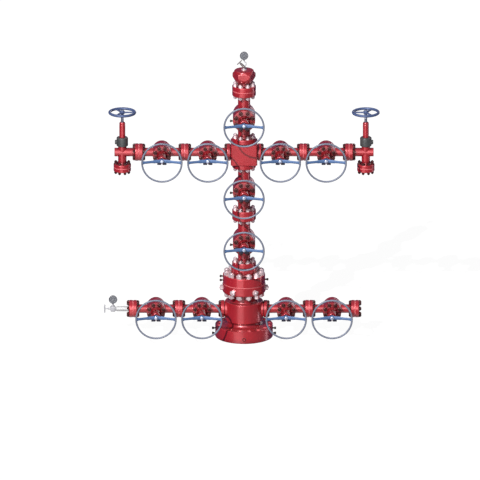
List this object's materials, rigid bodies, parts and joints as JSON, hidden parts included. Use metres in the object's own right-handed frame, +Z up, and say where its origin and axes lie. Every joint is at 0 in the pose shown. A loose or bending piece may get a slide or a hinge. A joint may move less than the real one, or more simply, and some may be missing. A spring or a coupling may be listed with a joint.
{
  "type": "oil wellhead valve stack",
  "caption": "Surface production tree on a tubing head: stacked gate valves with handwheels, a flow cross, side wings ending in adjustable chokes, a tree cap and pressure gauges.",
  "frame": {"origin": "centre of the bottom flange's lower face, on the well axis", "axes": "+Z up the well axis, -Y towards the front with the handwheels, +X to the right seen from the front"},
  "size_m": [3.1311, 0.7705, 3.3848],
  "materials": {
    "red_paint": "gloss enamel over forged steel",
    "blue_paint": "satin enamel on cast wheels",
    "grey_iron": "dark grey, slightly rough",
    "bright_steel": "bright stainless",
    "gauge_grey": "dark grey case",
    "dark_steel": "black oxide",
    "plated_nut": "bright plated studs and nuts",
    "black_nut": "black oxide studs and nuts",
    "dial": "printed dial",
    "gauge_glass": "clear"
  },
  "bodies": {
    "tree": {"tubing_head": "red_paint", "tubing_head_adapter": "red_paint", "flow_cross": "red_paint", "lower_master_body": "red_paint", "lower_master_bonnet": "red_paint", "upper_master_body": "red_paint", "upper_master_bonnet": "red_paint", "swab_body": "red_paint", "swab_bonnet": "red_paint", "wing_left_outer_body": "red_paint", "wing_left_inner_body": "red_paint", "wing_right_inner_body": "red_paint", "wing_right_outer_body": "red_paint", "wing_bonnets": "red_paint", "casing_left_outer_body": "red_paint", "casing_left_inner_body": "red_paint", "casing_right_inner_body": "red_paint", "casing_right_outer_body": "red_paint", "casing_bonnets": "red_paint", "left_choke_body": "red_paint", "right_choke_body": "red_paint", "choke_stem_housings": "red_paint", "choke_outlet_flanges": "red_paint", "casing_gauge_flange": "red_paint", "casing_companion_flange": "red_paint", "tree_cap_hub": "red_paint", "tree_cap_nut": "red_paint", "choke_collars": "grey_iron", "casing_nipple": "bright_steel", "casing_needle_valve": "bright_steel", "cap_needle_valve": "bright_steel", "lockdown_screws": "bright_steel", "casing_gauge": "gauge_grey", "cap_gauge": "gauge_grey", "grease_and_test_fittings": "dark_steel"},
    "lower_master_wheel": {"lower_master_handwheel": "blue_paint"},
    "upper_master_wheel": {"upper_master_handwheel": "blue_paint"},
    "swab_wheel": {"swab_handwheel": "blue_paint"},
    "wing_left_outer_wheel": {"wing_left_outer_handwheel": "blue_paint"},
    "wing_left_inner_wheel": {"wing_left_inner_handwheel": "blue_paint"},
    "wing_right_inner_wheel": {"wing_right_inner_handwheel": "blue_paint"},
    "wing_right_outer_wheel": {"wing_right_outer_handwheel": "blue_paint"},
    "casing_left_outer_wheel": {"casing_left_outer_handwheel": "blue_paint"},
    "casing_left_inner_wheel": {"casing_left_inner_handwheel": "blue_paint"},
    "casing_right_inner_wheel": {"casing_right_inner_handwheel": "blue_paint"},
    "casing_right_outer_wheel": {"casing_right_outer_handwheel": "blue_paint"},
    "left_choke_wheel": {"left_choke_handwheel": "blue_paint"},
    "right_choke_wheel": {"right_choke_handwheel": "blue_paint"},
    "casing_needle_knob": {"casing_needle_handle": "bright_steel"},
    "cap_needle_knob": {"cap_needle_handle": "bright_steel"}
  },
  "joints": [
    {"name": "lower_master_wheel_turn", "type": "hinge", "parent": "tree", "child": "lower_master_wheel", "pos_m": [0, 0, 1.1385], "axis": [0, -1, 0], "continuous": true},
    {"name": "upper_master_wheel_turn", "type": "hinge", "parent": "tree", "child": "upper_master_wheel", "pos_m": [0, 0, 1.7575], "axis": [0, -1, 0], "continuous": true},
    {"name": "swab_wheel_turn", "type": "hinge", "parent": "tree", "child": "swab_wheel", "pos_m": [0, 0, 2.6145], "axis": [0, -1, 0], "continuous": true},
    {"name": "wing_left_outer_wheel_turn", "type": "hinge", "parent": "tree", "child": "wing_left_outer_wheel", "pos_m": [-0.9325, 0, 2.186], "axis": [0, -1, 0], "continuous": true},
    {"name": "wing_left_inner_wheel_turn", "type": "hinge", "parent": "tree", "child": "wing_left_inner_wheel", "pos_m": [-0.4115, 0, 2.186], "axis": [0, -1, 0], "continuous": true},
    {"name": "wing_right_inner_wheel_turn", "type": "hinge", "parent": "tree", "child": "wing_right_inner_wheel", "pos_m": [0.4115, 0, 2.186], "axis": [0, -1, 0], "continuous": true},
    {"name": "wing_right_outer_wheel_turn", "type": "hinge", "parent": "tree", "child": "wing_right_outer_wheel", "pos_m": [0.9325, 0, 2.186], "axis": [0, -1, 0], "continuous": true},
    {"name": "casing_left_outer_wheel_turn", "type": "hinge", "parent": "tree", "child": "casing_left_outer_wheel", "pos_m": [-0.9995, 0, 0.3195], "axis": [0, -1, 0], "continuous": true},
    {"name": "casing_left_inner_wheel_turn", "type": "hinge", "parent": "tree", "child": "casing_left_inner_wheel", "pos_m": [-0.4785, 0, 0.3195], "axis": [0, -1, 0], "continuous": true},
    {"name": "casing_right_inner_wheel_turn", "type": "hinge", "parent": "tree", "child": "casing_right_inner_wheel", "pos_m": [0.4785, 0, 0.3195], "axis": [0, -1, 0], "continuous": true},
    {"name": "casing_right_outer_wheel_turn", "type": "hinge", "parent": "tree", "child": "casing_right_outer_wheel", "pos_m": [0.9995, 0, 0.3195], "axis": [0, -1, 0], "continuous": true},
    {"name": "left_choke_wheel_turn", "type": "hinge", "parent": "tree", "child": "left_choke_wheel", "pos_m": [-1.382, 0, 2.186], "axis": [0, 0, 1], "continuous": true},
    {"name": "right_choke_wheel_turn", "type": "hinge", "parent": "tree", "child": "right_choke_wheel", "pos_m": [1.382, 0, 2.186], "axis": [0, 0, 1], "continuous": true},
    {"name": "casing_needle_knob_turn", "type": "hinge", "parent": "tree", "child": "casing_needle_knob", "pos_m": [-1.55, 0, 0.3195], "axis": [-1, 0, 0], "continuous": true},
    {"name": "cap_needle_knob_turn", "type": "hinge", "parent": "tree", "child": "cap_needle_knob", "pos_m": [0, 0, 3.2023], "axis": [-0.7071, 0, 0.7071], "continuous": true}
  ]
}
